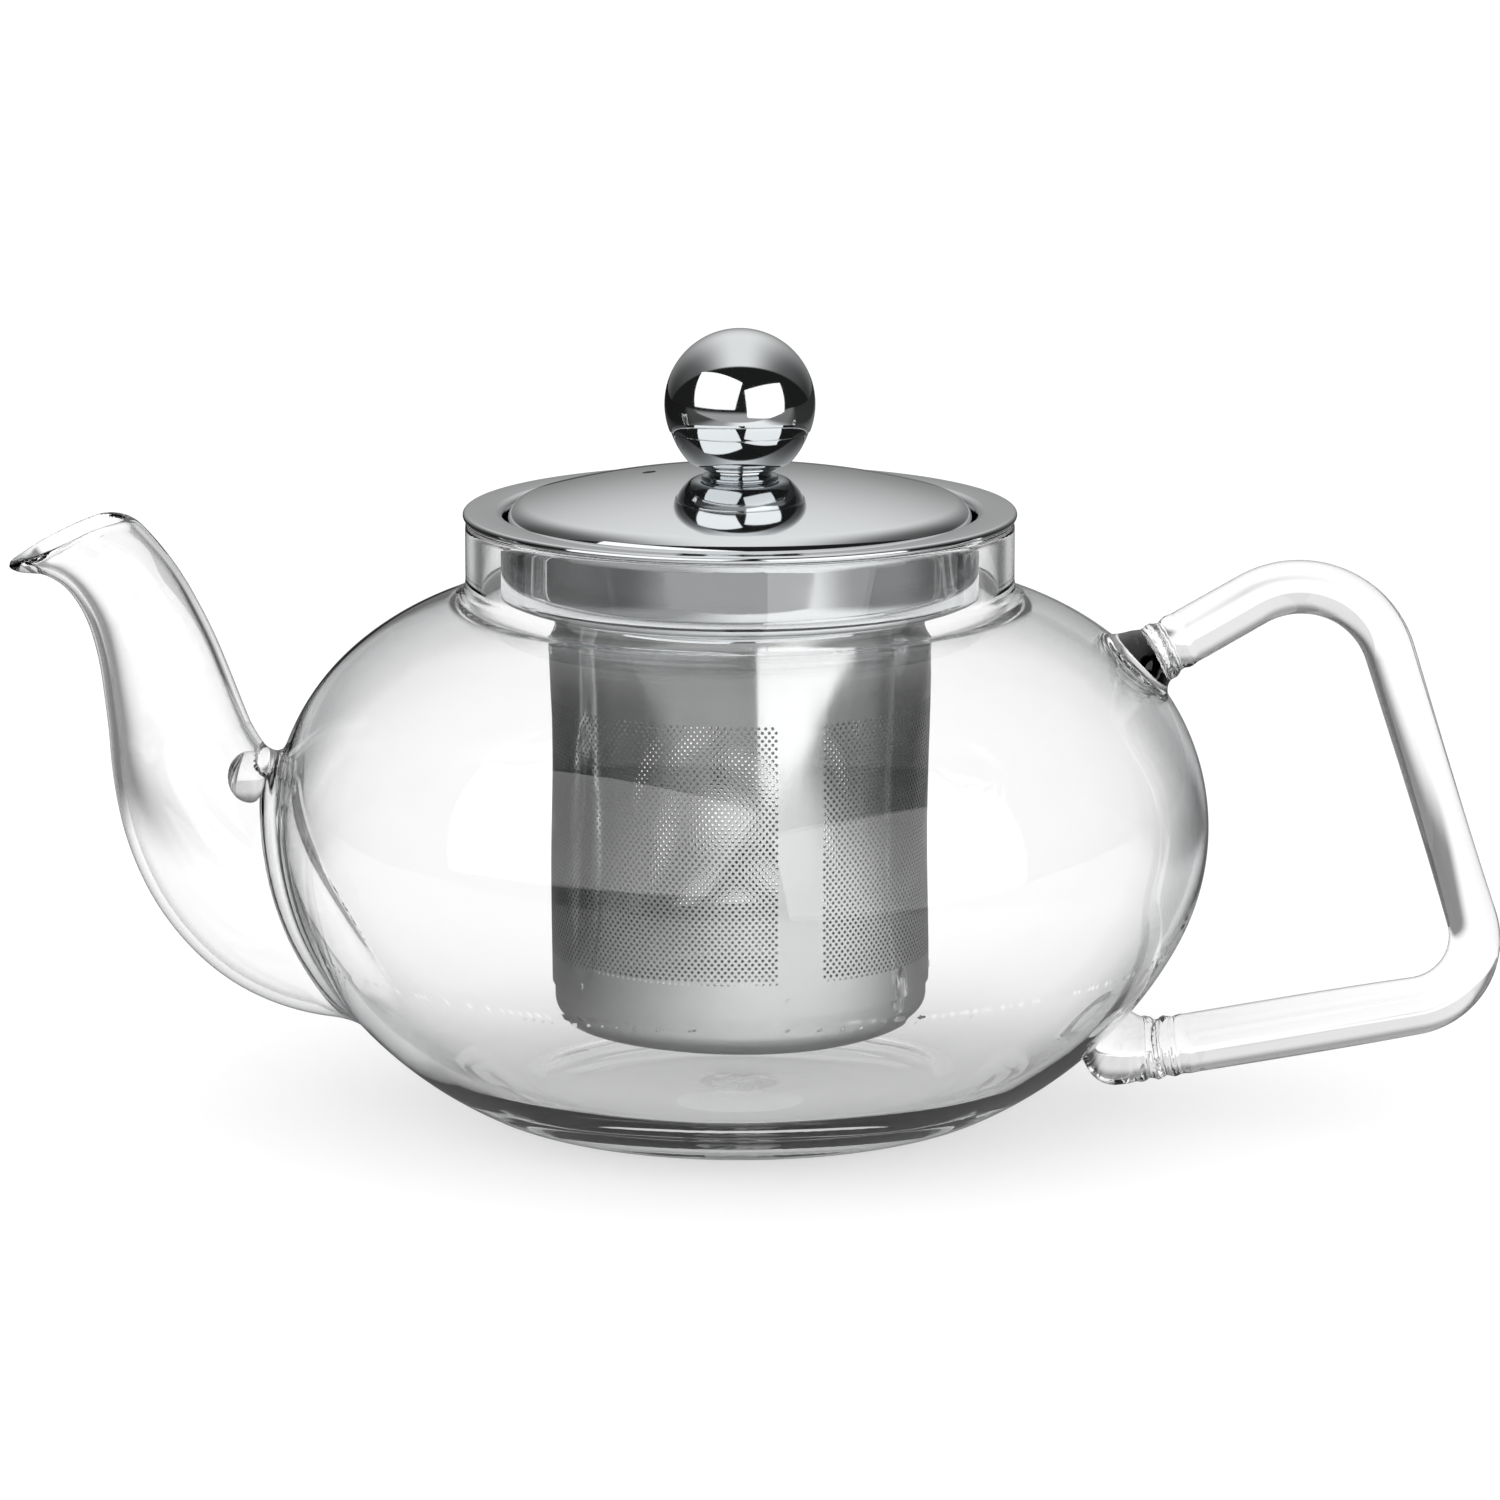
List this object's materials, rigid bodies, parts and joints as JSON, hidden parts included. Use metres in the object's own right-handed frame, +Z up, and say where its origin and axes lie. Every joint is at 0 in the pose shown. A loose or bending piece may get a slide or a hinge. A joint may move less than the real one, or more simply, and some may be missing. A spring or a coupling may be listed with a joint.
{
  "type": "teapot",
  "caption": "Round clear glass teapot with curved spout, bent glass rod handle, lift-out perforated steel infuser basket and domed steel lid with a ball knob",
  "frame": {"origin": "on the pot's vertical axis, in the plane of the foot it stands on", "axes": "+Z up, +X towards the handle and -X towards the spout, so X is the longest extent"},
  "size_m": [0.2232, 0.1406, 0.1193],
  "materials": {
    "glass": "clear, fire-polished borosilicate",
    "polished_steel": "mirror-polished stainless steel",
    "sheet_steel": "satin rolled stainless sheet, micro-perforated",
    "hardware_steel": "plain machined stainless steel"
  },
  "bodies": {
    "pot": {"pot_bowl": "glass", "pot_spout": "glass", "spout_seam": "glass", "handle_rod": "glass", "handle_top_weld": "glass", "handle_bottom_weld": "glass"},
    "infuser": {"infuser_rim": "polished_steel", "infuser_wall": "sheet_steel", "infuser_seam": "sheet_steel", "infuser_base": "sheet_steel", "upper_spot_welds": "sheet_steel", "lower_spot_welds": "sheet_steel"},
    "lid": {"lid_dome": "polished_steel", "lid_skirt": "polished_steel", "knob_upper_shell": "polished_steel", "knob_lower_shell": "polished_steel", "knob_neck": "polished_steel", "knob_bush": "hardware_steel", "knob_screw": "hardware_steel", "knob_washer": "hardware_steel"}
  },
  "joints": [
    {"name": "infuser_lift", "type": "slide", "parent": "pot", "child": "infuser", "axis": [0, 0, 1], "range_m": [0, 0.085]},
    {"name": "lid_lift", "type": "slide", "parent": "infuser", "child": "lid", "axis": [0, 0, 1], "range_m": [0, 0.035]}
  ]
}
